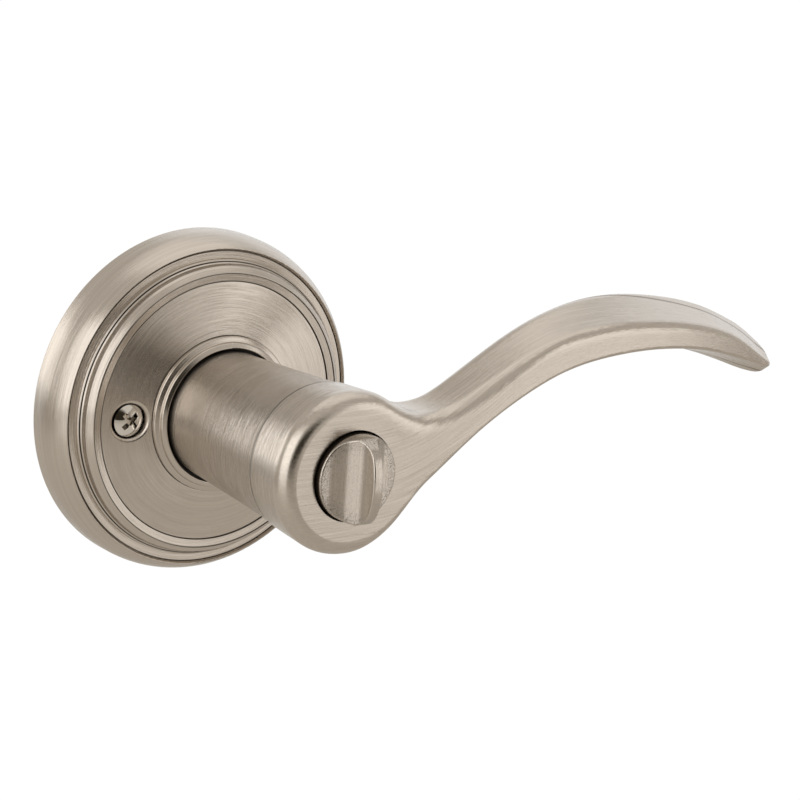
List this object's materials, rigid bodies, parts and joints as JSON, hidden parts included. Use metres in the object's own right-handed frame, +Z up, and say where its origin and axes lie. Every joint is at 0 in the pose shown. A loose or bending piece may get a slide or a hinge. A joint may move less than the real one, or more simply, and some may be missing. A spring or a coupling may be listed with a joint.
{
  "type": "door lever handle",
  "caption": "Inside half of a privacy door lever: stepped round rose, flared neck, wave-shaped lever that springs back to level, and a thumb turn in its head that drives the lock bar.",
  "frame": {"origin": "centre of the rose's back, on the door's face and on the spindle's axis", "axes": "the spindle lies along Y with +Y into the door and -Y out of it; +X runs along the lever; +Z is up"},
  "size_m": [0.1387, 0.106, 0.0664],
  "materials": {
    "satin_nickel": "satin nickel plate with fine brushing, turned on round pieces and lengthwise on the arm",
    "zinc_casting": "plain zinc die casting",
    "plated_steel": "zinc-plated steel",
    "spring_steel": "dark spring steel",
    "bright_screw": "bright nickel plate",
    "black_acetal": "black acetal",
    "white_nylon": "natural nylon"
  },
  "bodies": {
    "rose": {"rose_cover": "satin_nickel", "rose_chassis": "zinc_casting", "collar_bush": "satin_nickel", "neck_bearing": "black_acetal", "return_spring": "spring_steel", "cover_plate": "plated_steel", "cover_screws": "plated_steel", "mounting_screws": "bright_screw"},
    "lever": {"lever": "satin_nickel", "neck_sleeve": "satin_nickel", "drive_spindle": "plated_steel", "spring_cam": "plated_steel", "spindle_circlip": "spring_steel", "wave_washer": "spring_steel", "lever_set_screw": "spring_steel", "detent_clip": "spring_steel", "button_washer": "white_nylon"},
    "turn_button": {"turn_button": "satin_nickel", "turn_bar": "plated_steel", "turn_bar_pin": "spring_steel", "button_e_clip": "spring_steel"}
  },
  "joints": [
    {"name": "lever_turn", "type": "hinge", "parent": "rose", "child": "lever", "pos_m": [0, 0, 0], "axis": [0, 1, 0], "range_deg": [-48, 48], "stiffness_Nm_per_rad": 2, "deforming": ["return_spring"]},
    {"name": "button_turn", "type": "hinge", "parent": "lever", "child": "turn_button", "pos_m": [0, -0.059, 0], "axis": [0, 1, 0], "range_deg": [0, 90], "deforming": ["detent_clip"]}
  ]
}
